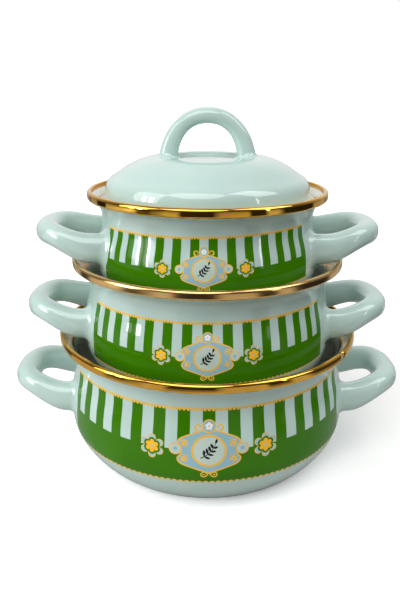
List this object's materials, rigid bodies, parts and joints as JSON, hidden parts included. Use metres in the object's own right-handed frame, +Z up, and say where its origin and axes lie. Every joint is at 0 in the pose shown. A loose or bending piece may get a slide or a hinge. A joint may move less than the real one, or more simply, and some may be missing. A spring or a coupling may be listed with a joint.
{
  "type": "cooking pot set",
  "caption": "Nesting stack of enamelled steel casseroles with loop handles and gold-coloured metal rims, closed by one domed lid with an arched handle.",
  "frame": {"origin": "centre of the large pot's flat base, on the surface that it stands on", "axes": "+X through the right-hand loop handles, -Y towards the decorated front, +Z up the stack"},
  "size_m": [0.2784, 0.21, 0.2465],
  "materials": {
    "enamel": "glossy vitreous enamel, pale aqua",
    "rim_metal": "polished gold-coloured stainless steel"
  },
  "bodies": {
    "large_pot": {"pot_large_body": "enamel", "pot_large_rim": "rim_metal", "pot_large_handle_left": "enamel", "pot_large_handle_right": "enamel"},
    "medium_pot": {"pot_medium_body": "enamel", "pot_medium_rim": "rim_metal", "pot_medium_handle_left": "enamel", "pot_medium_handle_right": "enamel"},
    "small_pot": {"pot_small_body": "enamel", "pot_small_rim": "rim_metal", "pot_small_handle_left": "enamel", "pot_small_handle_right": "enamel"},
    "lid": {"lid_shell": "enamel", "lid_handle": "enamel"}
  },
  "joints": [
    {"name": "medium_pot_lift", "type": "slide", "parent": "large_pot", "child": "medium_pot", "axis": [0, 0, 1], "range_m": [0, 0.12]},
    {"name": "small_pot_lift", "type": "slide", "parent": "medium_pot", "child": "small_pot", "axis": [0, 0, 1], "range_m": [0, 0.11]},
    {"name": "lid_lift", "type": "slide", "parent": "small_pot", "child": "lid", "axis": [0, 0, 1], "range_m": [0, 0.08]}
  ]
}
